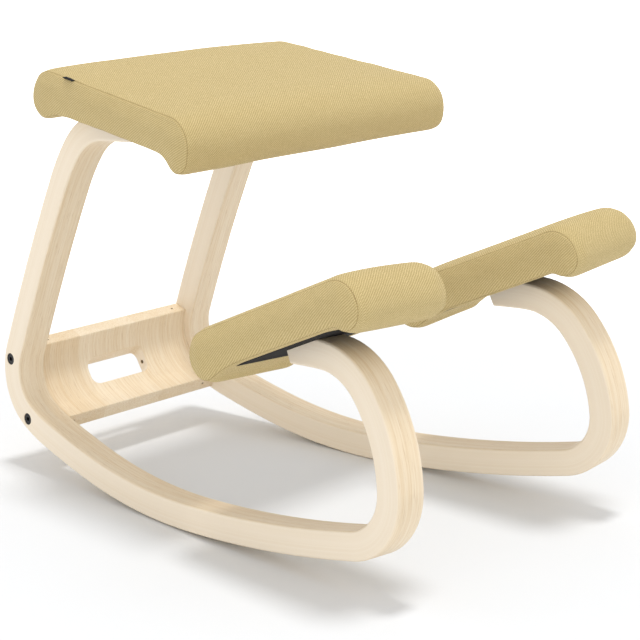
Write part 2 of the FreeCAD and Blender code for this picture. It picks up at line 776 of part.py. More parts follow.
def socket_screw(length):
    """A pan-head screw with a hexagon socket, drawn pointing up with its head's seat at zero."""
    head_height = size("screw_head_height")
    head = Part.makeCylinder(size("screw_head_radius"), head_height, Vector(0, 0, -head_height))
    low_edge = [edge for edge in head.Edges if abs(edge.BoundBox.ZMax + head_height) < 0.01]
    head = head.makeFillet(1.5, low_edge)
    shank = Part.makeCylinder(size("screw_radius"), length, Vector())
    corner = size("hex_socket") / math.sqrt(3) * 0.8
    points = [Vector(corner * math.cos(math.radians(60 * step)), corner * math.sin(math.radians(60 * step)),
                     -head_height) for step in range(7)]
    socket = Part.Face(Part.makePolygon(points)).extrude(Vector(0, 0, 2))
    return head.fuse(shank).cut(socket)


def make_fixings(kind, name, frame, spots):
    """The tee nuts in the board and the screws that come up through the arm."""
    level = rest_level(kind)
    board_top = level + size("cover_thickness") + size("board_thickness")
    grip = size("screw_grip")
    length = grip + board_top - level - 1
    nuts = []
    screws = []
    for spot in spots:
        nut = tee_nut()
        nut.Placement = frame * Placement(Vector(spot.x, spot.y, board_top), Rotation())
        nuts.append(nut)
        screw = socket_screw(length)
        screw.Placement = frame * Placement(Vector(spot.x, spot.y, level - grip), Rotation())
        screws.append(screw)
    return [group_of(name + "_tee_nuts", nuts), group_of(name + "_screws", screws)]


def make_cushion(kind, name, frame, spots):
    made = [make_board(kind, name + "_board", frame, spots)]
    made += make_upholstery(kind, name, frame)
    made += make_fixings(kind, name, frame, spots)
    return made


pieces = []
for side in (RIGHT, LEFT):
    pieces.append(make_runner(side))
    for which in ("upper", "lower"):
        pieces.append(make_bolt(side, which))
        pieces.append(make_insert(side, which))
pieces.append(make_panel())
pieces.append(make_lock_pins())
pieces += make_cushion("seat", "seat", SEAT_FRAME, seat_screw_spots(RIGHT) + seat_screw_spots(LEFT))
for side in (RIGHT, LEFT):
    pad_frame = runner_place(side) * PAD_IN_RUNNER
    pieces += make_cushion("pad", "knee_pad_" + SIDE_NAMES[side], pad_frame, pad_screw_spots())

doc.recompute()
for thing in doc.Objects:
    if "Invalid" in thing.State or "Error" in thing.State:
        raise SystemExit("%s did not build: %s" % (thing.Label, thing.State))
os.makedirs("parts", exist_ok=True)
for piece in pieces:
    if piece.Shape.isNull() or not piece.Shape.isValid():
        raise SystemExit("%s has no valid shape" % piece.Label)
for piece in pieces:
    piece.Shape.exportStep("parts/%s.step" % piece.Label)
    box = piece.Shape.BoundBox
    print("%-28s solids %d volume %9.0f  x %.1f %.1f  y %.1f %.1f  z %.1f %.1f" % (
        piece.Label, len(piece.Shape.Solids), piece.Shape.Volume,
        box.XMin, box.XMax, box.YMin, box.YMax, box.ZMin, box.ZMax))
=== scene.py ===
import bmesh
import bpy
import math
from mathutils import Euler, Matrix, Vector, noise


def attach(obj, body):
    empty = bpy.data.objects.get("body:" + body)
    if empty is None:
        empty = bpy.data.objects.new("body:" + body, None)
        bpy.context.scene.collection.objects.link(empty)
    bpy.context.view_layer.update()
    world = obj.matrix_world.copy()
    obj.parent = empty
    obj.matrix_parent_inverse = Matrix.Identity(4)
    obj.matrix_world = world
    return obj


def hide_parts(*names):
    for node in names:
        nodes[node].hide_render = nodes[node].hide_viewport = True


# A rocking kneeling chair dressed over its solid model. Metres, +Z up, the sitter faces -Y.

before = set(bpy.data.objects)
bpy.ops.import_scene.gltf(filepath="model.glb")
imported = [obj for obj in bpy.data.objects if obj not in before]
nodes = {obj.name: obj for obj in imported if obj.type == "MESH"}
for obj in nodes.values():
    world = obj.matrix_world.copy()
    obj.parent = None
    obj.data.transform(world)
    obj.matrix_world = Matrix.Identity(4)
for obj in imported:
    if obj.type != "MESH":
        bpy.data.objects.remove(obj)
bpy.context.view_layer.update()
MM = 0.001
RIGHT, LEFT = -1, 1
SIDE_NAMES = {RIGHT: "right", LEFT: "left"}


# Camera

def place_camera():
    """The photograph's view: from the front right corner, a little above the seat."""
    place = (-1.6047, -1.5495, 0.7981)
    yaw, pitch, roll = -0.8186, 0.2556, math.radians(-0.29)
    focal_length = 108.2
    picture_shift = (-0.00125, 0.0003)
    back = Vector((math.sin(yaw) * math.cos(pitch), -math.cos(yaw) * math.cos(pitch), math.sin(pitch)))
    across = (-back).cross(Vector((0, 0, 1))).normalized()
    up = across.cross(-back)
    rolled_across = across * math.cos(roll) + up * math.sin(roll)
    rolled_up = up * math.cos(roll) - across * math.sin(roll)
    turn = Matrix((rolled_across, rolled_up, back)).transposed()
    data = bpy.data.cameras.new("camera")
    data.lens = focal_length
    data.sensor_width = 36.0
    data.shift_x, data.shift_y = picture_shift
    data.clip_end = 30.0
    camera = bpy.data.objects.new("camera", data)
    camera.matrix_world = Matrix.Translation(place) @ turn.to_4x4()
    bpy.context.scene.collection.objects.link(camera)
    bpy.context.scene.camera = camera


# Shared helpers

def add_object(name, mesh):
    thing = bpy.data.objects.new(name, mesh)
    bpy.context.scene.collection.objects.link(thing)
    return thing


def linear(red, green, blue):
    """An sRGB colour given as 0 to 255, as the linear values that shaders take."""
    values = []
    for part in (red, green, blue):
        part = part / 255.0
        values.append(part / 12.92 if part <= 0.04045 else ((part + 0.055) / 1.055) ** 2.4)
    return (values[0], values[1], values[2], 1.0)


class Recipe:
    """A node material, written as nodes whose inputs are numbers or other nodes' outputs."""

    def __init__(self, name):
        self.material = bpy.data.materials.new(name)
        self.material.use_nodes = True
        self.tree = self.material.node_tree
        self.shader = self.tree.nodes["Principled BSDF"]

    def plug(self, socket, value):
        if isinstance(value, bpy.types.NodeSocket):
            self.tree.links.new(value, socket)
        else:
            socket.default_value = value

    def add(self, kind, inputs=None, **settings):
        node = self.tree.nodes.new(kind)
        for key, value in settings.items():
            setattr(node, key, value)
        for key, value in (inputs or {}).items():
            self.plug(node.inputs[key], value)
        return node

    def math(self, operation, *values, clamp=False):
        node = self.add("ShaderNodeMath", dict(enumerate(values)), operation=operation, use_clamp=clamp)
        return node.outputs[0]

    def vector(self, operation, *values):
        node = self.add("ShaderNodeVectorMath", dict(enumerate(values)), operation=operation)
        return node.outputs["Value" if operation == "DOT_PRODUCT" else "Vector"]

    def noise(self, vector, scale, detail=2.0, roughness=0.5):
        inputs = {"Vector": vector, "Scale": scale, "Detail": detail, "Roughness": roughness}
        return self.add("ShaderNodeTexNoise", inputs).outputs["Fac"]

    def window(self, value, low, high, out_low=0.0, out_high=1.0):
        inputs = {"Value": value, "From Min": low, "From Max": high, "To Min": out_low, "To Max": out_high}
        return self.add("ShaderNodeMapRange", inputs).outputs["Result"]

    def mix(self, amount, first, second):
        node = self.tree.nodes.new("ShaderNodeMix")
        node.data_type = "RGBA"
        self.plug(node.inputs[0], amount)
        self.plug(node.inputs[6], first)
        self.plug(node.inputs[7], second)
        return node.outputs[2]

    def attribute(self, name):
        return self.add("ShaderNodeAttribute", attribute_name=name).outputs["Vector"]

    def amount(self, name):
        return self.add("ShaderNodeAttribute", attribute_name=name).outputs["Fac"]

    def split(self, vector):
        return self.add("ShaderNodeSeparateXYZ", {0: vector}).outputs

    def join(self, x, y, z):
        return self.add("ShaderNodeCombineXYZ", {0: x, 1: y, 2: z}).outputs[0]

    def bump(self, height, strength, distance):
        node = self.add("ShaderNodeBump", {"Strength": strength, "Distance": distance, "Height": height})
        self.plug(self.shader.inputs["Normal"], node.outputs[0])

    def finish(self, **values):
        for key, value in values.items():
            self.plug(self.shader.inputs[key.replace("_", " ")], value)
        return self.material


# Materials

def wood_material(name, pale, tan, streak, strip_width=0.0):
    """Bent laminated hardwood. The bow attribute holds distance along the bend, across the width and
    through the thickness, so grain runs round the bends and the veneers show on the sawn sides."""
    veneer_thickness = 0.00145
    # painted shade: the dark brown that stands for the shade inside the panel's bore
    painted_bore_shade = linear(84, 52, 30)
    recipe = Recipe(name)
    bow = recipe.attribute("bow")
    _, across, through = recipe.split(bow)
    broad = recipe.noise(recipe.vector("MULTIPLY", bow, (2.2, 30.0, 90.0)), 1.0, 3.0)
    fine = recipe.noise(recipe.vector("MULTIPLY", bow, (9.0, 520.0, 520.0)), 1.0, 5.0, 0.62)
    pores = recipe.noise(recipe.vector("MULTIPLY", bow, (55.0, 1500.0, 1500.0)), 1.0, 2.0)
    pore_mask = recipe.window(pores, 0.60, 0.72)

    # veneers, each of its own tone, with a thin glue line between them
    layer_place = recipe.math("DIVIDE", through, veneer_thickness)
    layer_tone = recipe.add("ShaderNodeTexWhiteNoise", {"W": recipe.math("FLOOR", layer_place)},
                            noise_dimensions="1D").outputs["Value"]
    layer_edge = recipe.math("ABSOLUTE", recipe.math("SUBTRACT", recipe.math("FRACT", layer_place), 0.5))
    glue = recipe.window(layer_edge, 0.455, 0.495)

    # how far a face looks sideways: 1 on the sawn sides, 0 on the bent faces
    facing = recipe.split(recipe.add("ShaderNodeNewGeometry").outputs["Normal"])[0]
    sawn = recipe.window(recipe.math("ABSOLUTE", facing), 0.55, 0.9)
    bent = recipe.math("SUBTRACT", 1.0, sawn)

    grain = recipe.math("ADD", recipe.math("MULTIPLY", recipe.window(fine, 0.36, 0.68), 0.66),
                        recipe.math("MULTIPLY", recipe.window(broad, 0.3, 0.7), 0.38))
    if strip_width:
        # a panel's face veneer is laid in strips side by side, each of its own tone
        first_joint, strip_seed = 0.061, 4.0
        shifted = recipe.math("ADD", across, first_joint)
        strip = recipe.math("FLOOR", recipe.math("DIVIDE", shifted, strip_width))
        tone = recipe.add("ShaderNodeTexWhiteNoise", {"W": recipe.math("ADD", strip, strip_seed)},
                          noise_dimensions="1D").outputs["Value"]
        shift = recipe.math("MULTIPLY", recipe.math("SUBTRACT", tone, 0.5), 0.30)
        grain = recipe.math("ADD", grain, shift, clamp=True)
    face_colour = recipe.mix(grain, pale[0], tan)
    face_colour = recipe.mix(recipe.math("MULTIPLY", pore_mask, 0.48), face_colour, streak)
    side_amount = recipe.math("ADD", recipe.math("MULTIPLY", layer_tone, 0.13),
                              recipe.math("MULTIPLY", recipe.window(broad, 0.3, 0.7), 0.14))
    side_colour = recipe.mix(side_amount, pale[1], tan)
    side_colour = recipe.mix(recipe.math("MULTIPLY", glue, 0.10), side_colour, streak)
    colour = recipe.mix(sawn, face_colour, side_colour)
    # painted shade: towards the deep end of the bore the colour goes dark brown, standing for the shade
    # inside the hole
    depth = recipe.amount("bore")
    colour = recipe.mix(recipe.window(depth, 0.0, 0.5, 0.0, 0.9), colour, painted_bore_shade)

    rough = recipe.window(fine, 0.3, 0.7, 0.40, 0.52)
    height = recipe.math("SUBTRACT", recipe.math("MULTIPLY", fine, 0.5),
                         recipe.math("MULTIPLY", recipe.math("MULTIPLY", pore_mask, bent), 0.5))
    recipe.bump(height, 0.35, 0.00012)
    return recipe.finish(Base_Color=colour, Roughness=rough, Specular_IOR_Level=0.32,
                         Coat_Weight=0.10, Coat_Roughness=0.35)


def twill_material(name, light, dark, gap_shade_colour):
    """A coarse two-up two-down twill. The cloth attribute holds metres along the weft and the warp."""
    end_pitch = 0.00094
    pick_pitch = 0.00075
    ends_in_repeat = 4.0
    last_raised_end = 1.5
    yarn_sway = 1.1
    yarn_arch = 2.6
    weft_rise = 0.86
    run_share = 0.04
    recipe = Recipe(name)
    weft, warp, _ = recipe.split(recipe.attribute("cloth"))
    wobble = recipe.noise(recipe.attribute("cloth"), 90.0, 2.0)
    sway = recipe.math("MULTIPLY", recipe.math("SUBTRACT", wobble, 0.5), yarn_sway)
    across = recipe.math("ADD", recipe.math("DIVIDE", weft, end_pitch), sway)
    along = recipe.math("ADD", recipe.math("DIVIDE", warp, pick_pitch), sway)
    step = recipe.math("ADD", recipe.math("FLOOR", across), recipe.math("FLOOR", along))
    in_repeat = recipe.math("FLOORED_MODULO", step, ends_in_repeat)
    warp_up = recipe.math("LESS_THAN", in_repeat, last_raised_end)

    def ridge(place):
        offset = recipe.math("SUBTRACT", recipe.math("FRACT", place), 0.5)
        return recipe.math("COSINE", recipe.math("MULTIPLY", offset, yarn_arch))

    warp_height = ridge(across)
    weft_height = recipe.math("MULTIPLY", ridge(along), weft_rise)
    up_part = recipe.math("MULTIPLY", warp_height, warp_up)
    down_part = recipe.math("MULTIPLY", weft_height, recipe.math("SUBTRACT", 1.0, warp_up))
    height = recipe.math("ADD", up_part, down_part)

    # each yarn is a little lighter or darker than the next, slowly changing along its run, and the
    # wool has flecks
    warp_run = recipe.math("MULTIPLY", along, run_share)
    weft_run = recipe.math("MULTIPLY", across, run_share)
    warp_seed = recipe.join(recipe.math("FLOOR", across), warp_run, 0.0)
    weft_seed = recipe.join(weft_run, recipe.math("FLOOR", along), 7.0)
    fleck = recipe.noise(recipe.join(across, along, 0.0), 0.9, 2.0, 0.6)
    warp_tone = recipe.noise(warp_seed, 1.7, 1.0)
    weft_tone = recipe.noise(weft_seed, 1.7, 1.0)
    warp_colour = recipe.mix(recipe.window(warp_tone, 0.3, 0.7), light[0], light[1])
    weft_colour = recipe.mix(recipe.window(weft_tone, 0.3, 0.7), dark[0], dark[1])
    colour = recipe.mix(warp_up, weft_colour, warp_colour)
    colour = recipe.mix(recipe.window(fleck, 0.52, 0.75, 0.0, 0.45), colour, light[0])
    # painted shade: the low places between the yarns darken towards the gap shade colour
    colour = recipe.mix(recipe.window(height, 0.25, 0.66, 0.85, 0.0), colour, gap_shade_colour)
    # painted shade: along the seams the colour darkens the same way, standing for the shadow in the seam's
    # groove
    colour = recipe.mix(recipe.window(recipe.amount("seam"), 0.45, 1.0, 0.0, 0.75), colour, gap_shade_colour)
    cloudy = recipe.noise(recipe.attribute("cloth"), 14.0, 2.0)
    colour = recipe.mix(recipe.window(cloudy, 0.35, 0.7, 0.0, 0.10), colour, dark[1])

    recipe.bump(height, 0.7, 0.00032)
    rough = recipe.window(fleck, 0.3, 0.7, 0.82, 0.95)
    return recipe.finish(Base_Color=colour, Roughness=rough, Specular_IOR_Level=0.15, Sheen_Weight=0.22,
                         Sheen_Roughness=0.45, Sheen_Tint=linear(245, 232, 200))


def object_point(recipe):
    return recipe.add("ShaderNodeTexCoord").outputs["Object"]


def metal_material(name, base, mark, metallic, rough_low, rough_high):
    """Turned metal with fine tool marks and small rubbed patches."""
    recipe = Recipe(name)
    point = object_point(recipe)
    marks = recipe.noise(recipe.vector("MULTIPLY", point, (400.0, 2600.0, 2600.0)), 1.0, 3.0)
    rubs = recipe.noise(point, 420.0, 3.0, 0.6)
    colour = recipe.mix(recipe.window(rubs, 0.52, 0.72, 0.0, 0.6), base, mark)
    recipe.bump(marks, 0.25, 0.00005)
    rough = recipe.window(rubs, 0.3, 0.7, rough_low, rough_high)
    return recipe.finish(Base_Color=colour, Roughness=rough, Metallic=metallic)


def plywood_material(name):
    """Birch plywood whose plies take two tones in turn."""
    ply_thickness = 0.00125
    recipe = Recipe(name)
    point = object_point(recipe)
    ply_place = recipe.math("DIVIDE", recipe.split(point)[2], ply_thickness)
    ply = recipe.math("FLOORED_MODULO", recipe.math("FLOOR", ply_place), 2.0)
    grain = recipe.noise(recipe.vector("MULTIPLY", point, (500.0, 18.0, 500.0)), 1.0, 4.0)
    colour = recipe.mix(recipe.math("MULTIPLY", ply, 0.5), linear(226, 200, 158), linear(176, 134, 88))
    colour = recipe.mix(recipe.window(grain, 0.35, 0.7, 0.0, 0.5), colour, linear(196, 160, 112))
    recipe.bump(grain, 0.3, 0.0001)
    return recipe.finish(Base_Color=colour, Roughness=recipe.window(grain, 0.3, 0.7, 0.6, 0.75))


def black_cloth_material(name):
    """Spun-bonded lining cloth: black, with a fine dimpled grid pressed in it."""
    dimple_pitch = 0.0021
    recipe = Recipe(name)
    place = recipe.attribute("cloth")
    waves = [recipe.math("SINE", recipe.math("MULTIPLY", part, 2 * math.pi / dimple_pitch))
             for part in recipe.split(place)[:2]]
    dimple = recipe.math("MULTIPLY", *waves)
    fibre = recipe.noise(recipe.vector("MULTIPLY", place, (700.0, 2200.0, 700.0)), 1.0, 4.0, 0.7)
    colour = recipe.mix(recipe.window(fibre, 0.35, 0.75), linear(13, 13, 15), linear(30, 30, 32))
    height = recipe.math("ADD", recipe.math("MULTIPLY", dimple, 0.5), recipe.math("MULTIPLY", fibre, 0.6))
    recipe.bump(height, 0.4, 0.0002)
    rough = recipe.window(fibre, 0.3, 0.7, 0.78, 0.92)
    return recipe.finish(Base_Color=colour, Roughness=rough, Specular_IOR_Level=0.25)


SAWN_CREAM = linear(242, 228, 206)
FACE_CREAM = linear(240, 225, 200)
RUNNER_WOOD = wood_material("runner_wood", (FACE_CREAM, SAWN_CREAM), linear(223, 199, 162),
                            linear(184, 148, 104))
PANEL_WOOD = wood_material("panel_wood", (FACE_CREAM, SAWN_CREAM), linear(222, 196, 156),
                           linear(182, 145, 100), strip_width=0.094)
# the last colour is the painted shade between the yarns and along the seams
COVER_TWILL = twill_material("cover_fabric", (linear(224, 205, 154), linear(213, 193, 141)),
                             (linear(200, 177, 122), linear(187, 163, 107)), linear(138, 114, 68))
BLACK_CLOTH = black_cloth_material("black_cloth")
BLACK_STEEL = metal_material("black_steel", linear(24, 24, 26), linear(46, 45, 46), 0.55, 0.32, 0.5)
# painted shade: the sunk lock pins take a dark brown that stands for the shade in their holes
PIN_HOLE_SHADE_STEEL = metal_material("pin_steel_painted_shade", linear(62, 44, 32), linear(88, 66, 48), 0.3, 0.55, 0.7)
ZINC_STEEL = metal_material("zinc_steel", linear(176, 176, 174), linear(140, 141, 143), 1.0, 0.25, 0.42)
PLYWOOD = plywood_material("plywood")


def dress(thing, material):
    thing.data.materials.clear()
    thing.data.materials.append(material)


# The runners' bent line, with the solid model's values in millimetres and degrees.
# Each bend is a radius and a turn, from the floor contact to the seat arm or to the pad arm.

THICKNESS = 32.5
WIDTH = 39.0
EDGE_RADIUS = 3.0
FLOOR_CONTACT = 31.0
HALF_SPACING = 171.0
SPLAY = 3.5
LEAN = 2.3
REAR_BENDS = [(680, 13), (1375, 3.5), (180, 12), (64, 82), (2800, 5), (265, 11.5), (83, 48)]
FRONT_BENDS = [(750, 3.5), (1560, 10), (65, 81.5), (175, 35.5), (83, 51.5), (765, 6)]
ARM_LENGTH = 113.0


class Bow:
    """The centreline as arcs, for finding how far along and how far out a point lies."""

    def __init__(self):
        self.arcs = []
        for bends, heading, side in ((REAR_BENDS, 0.0, 1), (FRONT_BENDS, math.pi, -1)):
            start = Vector((FLOOR_CONTACT, THICKNESS / 2))
            run = 0.0
            for radius, turn in bends:
                turn = math.radians(turn)
                inward = heading + side * math.pi / 2
                centre = start + Vector((math.cos(inward), math.sin(inward))) * radius
                self.arcs.append((centre, radius, heading, turn, side, run))
                run += radius * turn
                heading += side * turn
                angle = heading - side * math.pi / 2
                start = centre + Vector((math.cos(angle), math.sin(angle))) * radius
            if side > 0:
                self.arm = (start, Vector((math.cos(heading), math.sin(heading))), run)

    def measure(self, back, up):
        """(distance along, distance out) in millimetres for a point in the runner's plane. The arc
        that the point misses least is taken, and lying beyond an arc's end counts threefold."""
        beyond_weight = 3
        spot = Vector((back, up))
        best = None
        for centre, radius, heading, turn, side, run in self.arcs:
            reach = spot - centre
            out = reach.length - radius
            angle = math.atan2(reach.y, reach.x) + side * math.pi / 2
            turned = side * (angle - heading)
            turned = (turned + math.pi) % (2 * math.pi) - math.pi
            excess = max(0.0, -turned, turned - turn) * radius
            miss = abs(out) + beyond_weight * excess
            if best is None or miss < best[0]:
                best = (miss, side * (run + radius * turned), out)
        start, along, run = self.arm
        reach = spot - start
        forward = reach.dot(along)
        out = reach.x * along.y - reach.y * along.x
        miss = abs(out) + beyond_weight * max(0.0, forward - ARM_LENGTH)
        if forward > 0 and miss < best[0]:
            best = (miss, run + forward, out)
        return best[1], best[2]


BOW = Bow()


def runner_place(side):
    """Where a runner's own plane stands: splayed, leaning inwards and lifted onto its rounded edge."""
    lean = math.radians(LEAN)
    lift = (WIDTH / 2 - EDGE_RADIUS) * math.sin(lean) + EDGE_RADIUS * (1 - math.cos(lean))
    splay = Euler((0, 0, side * math.radians(SPLAY))).to_matrix()
    turn = splay @ Euler((0, -side * lean, 0)).to_matrix()
    return Matrix.Translation((side * HALF_SPACING, 0, lift)) @ turn.to_4x4()


def wooden_copy(node_name, name, material, to_plane):
    """A piece in place of a wooden node, with each point's distances along the bend."""
    mesh = nodes[node_name].data.copy()
    mesh.name = name
    piece = add_object(name, mesh)
    places = mesh.attributes.new("bow", "FLOAT_VECTOR", "POINT")
    for vertex in mesh.vertices:
        local = to_plane @ (vertex.co / MM)
        along, out = BOW.measure(local.y, local.z)
        places.data[vertex.index].vector = (along * MM, local.x * MM, out * MM)
    dress(piece, material)
    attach(piece, "root")
    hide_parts(node_name)
    return piece


def paint_bore_shade(piece):
    """Marks the deep ends of the panel's blind hole beside the hand slot, where no light falls, so that
    the wood's colour can paint shade there.
    """
    bore = piece.data.attributes.new("bore", "FLOAT", "POINT")
    slot_half = 48.0
    dark_from = slot_half + 1.0
    hole_along, hole_through = 310.1, 2.75
    along_reach, through_reach = 6.0, 4.0
    for vertex in piece.data.vertices:
        along, across, through = piece.data.attributes["bow"].data[vertex.index].vector / MM
        beside = abs(along - hole_along) < along_reach and abs(through - hole_through) < through_reach
        if abs(across) > dark_from and beside:
            bore.data[vertex.index].value = 1.0


def make_woodwork():
    for side, side_name in SIDE_NAMES.items():
        node_name = "runner_" + side_name
        wooden_copy(node_name, node_name + "_wood", RUNNER_WOOD,
                    runner_place(side).inverted())
    panel = wooden_copy("stretcher_panel", "panel_board", PANEL_WOOD, Matrix())
    # marks the panel's bore ends for painted shade
    paint_bore_shade(panel)


# Cushions

PROFILE_STEP = 0.7
SEAM_SET_IN = 1.5


def arc_points(centre, radius, start, stop, spacing=PROFILE_STEP):
    """Points along an arc, angles in degrees, the last one left out."""
    length = abs(math.radians(stop - start)) * radius
    count = max(3, int(length / spacing))
    points = []
    for number in range(count):
        angle = math.radians(start + (stop - start) * number / count)
        points.append(centre + Vector((math.cos(angle), math.sin(angle))) * radius)
    return points


class Cushion:
    """The measures of one cushion in millimetres, in its own frame: x across, y back, z up."""

    def __init__(self, width, thickness, front, rear, window, place):
        self.half_width = width / 2
        self.seam_half = self.half_width - SEAM_SET_IN
        self.half = thickness / 2
        self.ends = {-1: front, 1: rear}
        self.window = window
        self.place = place
        self.flare = 0.0
        self.crown = 0.0
        # how far the seams are drawn in, over what width, and how far the cover stands out between
        # them. Then how far the side panels' cloth is turned, and how far they bulge.
        self.draw_in = 0.6
        self.rounding = 6.0
        self.fullness = 1.0
        self.side_turn = 0.0
        self.side_bulge = 4.0

    def end_path(self, way, inset, crown):
        """Points from the top of one end round its roll to the flat underside."""
        reach, top_radius, roll_radius, drop, blend = self.ends[way]
        top = Vector((reach - top_radius, self.half - top_radius + crown))
        roll = Vector((reach - roll_radius, -self.half - drop + roll_radius))
        rise = roll.y + self.half + blend
        run = math.sqrt((roll_radius + blend) ** 2 - rise ** 2)
        hollow = Vector((roll.x - run, -self.half - blend))
        lean = math.degrees(math.atan2(rise, run))
        path = arc_points(top, top_radius - inset, 90, 0)
        side_top = Vector((reach - inset, top.y))
        side_low = Vector((reach - inset, roll.y))
        steps = max(1, int(abs(side_top.y - side_low.y) / PROFILE_STEP))
        path += [side_top.lerp(side_low, step / steps) for step in range(steps)]
        path += arc_points(roll, roll_radius - inset, 0, -180 + lean)
        path += arc_points(hollow, blend + inset, lean, 90)
        path.append(Vector((hollow.x, -self.half + inset)))
        return [Vector((way * spot.x, spot.y)) for spot in path]

    def loop(self, inset, crown):
        """The closed side profile, from the middle of the top forward, down and round."""
        front = self.end_path(-1, inset, crown)
        rear = self.end_path(1, inset, crown)
        return front + rear[::-1]

    def underside_level(self, back):
        """Height of the solid's underside under a point, or nothing beyond the hollow blends."""
        for way in (-1, 1):
            reach, _, roll_radius, drop, blend = self.ends[way]
            roll_back = reach - roll_radius
            rise = -self.half - drop + roll_radius + self.half + blend
            run = math.sqrt((roll_radius + blend) ** 2 - rise ** 2)
            meet = roll_back - run * roll_radius / (roll_radius + blend)
            out = way * back
            if out > meet:
                return None
            if out > roll_back - run:
                return -self.half - blend + math.sqrt(blend ** 2 - (out - roll_back + run) ** 2)
        return -self.half


def resample(points, count):
    """A closed loop cut at even steps of its length, starting half way along its last side."""
    closed = points + points[:1]
    lengths = [0.0]
    for a, b in zip(closed, closed[1:]):
        lengths.append(lengths[-1] + (b - a).length)
    total = lengths[-1]
    start = (lengths[-2] + total) / 2
    result = []
    cursor = 0
    for number in range(count):
        target = (start + total * number / count) % total
        if target < lengths[cursor]:
            cursor = 0
        while lengths[cursor + 1] < target:
            cursor += 1
        part = (target - lengths[cursor]) / max(1e-9, lengths[cursor + 1] - lengths[cursor])
        result.append(closed[cursor].lerp(closed[cursor + 1], part))
    return result, total


def write_cloth(mesh, places, domain):
    """Where each point or corner lies in the flat cloth, given in millimetres."""
    cloth = mesh.attributes.new("cloth", "FLOAT_VECTOR", domain)
    for number, (u, v) in enumerate(places):
        cloth.data[number].vector = (u * MM, v * MM, 0)


def shade_smooth(mesh):
    mesh.polygons.foreach_set("use_smooth", [True] * len(mesh.polygons))
    mesh.update()


def smooth_step(value, low, high):
    part = min(1.0, max(0.0, (value - low) / (high - low)))
    return part * part * (3 - 2 * part)


# Rings of points beside each seam: their distances on the band, and how far each one on the side
# panel lies in from the seam and stands out from it. The rest of the cover keeps one spacing.
SEAM_STEPS = (0.0, 1.0, 2.6, 5.0, 8.5, 13.0)
SIDE_RINGS = ((1.3, 0.5), (3.4, 1.1))
# The ring's length round one end as a share of the thickness, and the band's columns as a share of
# the spacing
END_SHARE = 1.15
BAND_SHARE = 1.05
# The side panels bulge from their rim inwards, over this many spacings
BULGE_FROM, BULGE_TO = -0.4, 3.4
# Keeps the side panels' cloth apart from the band's
CLOTH_SHIFT = 400


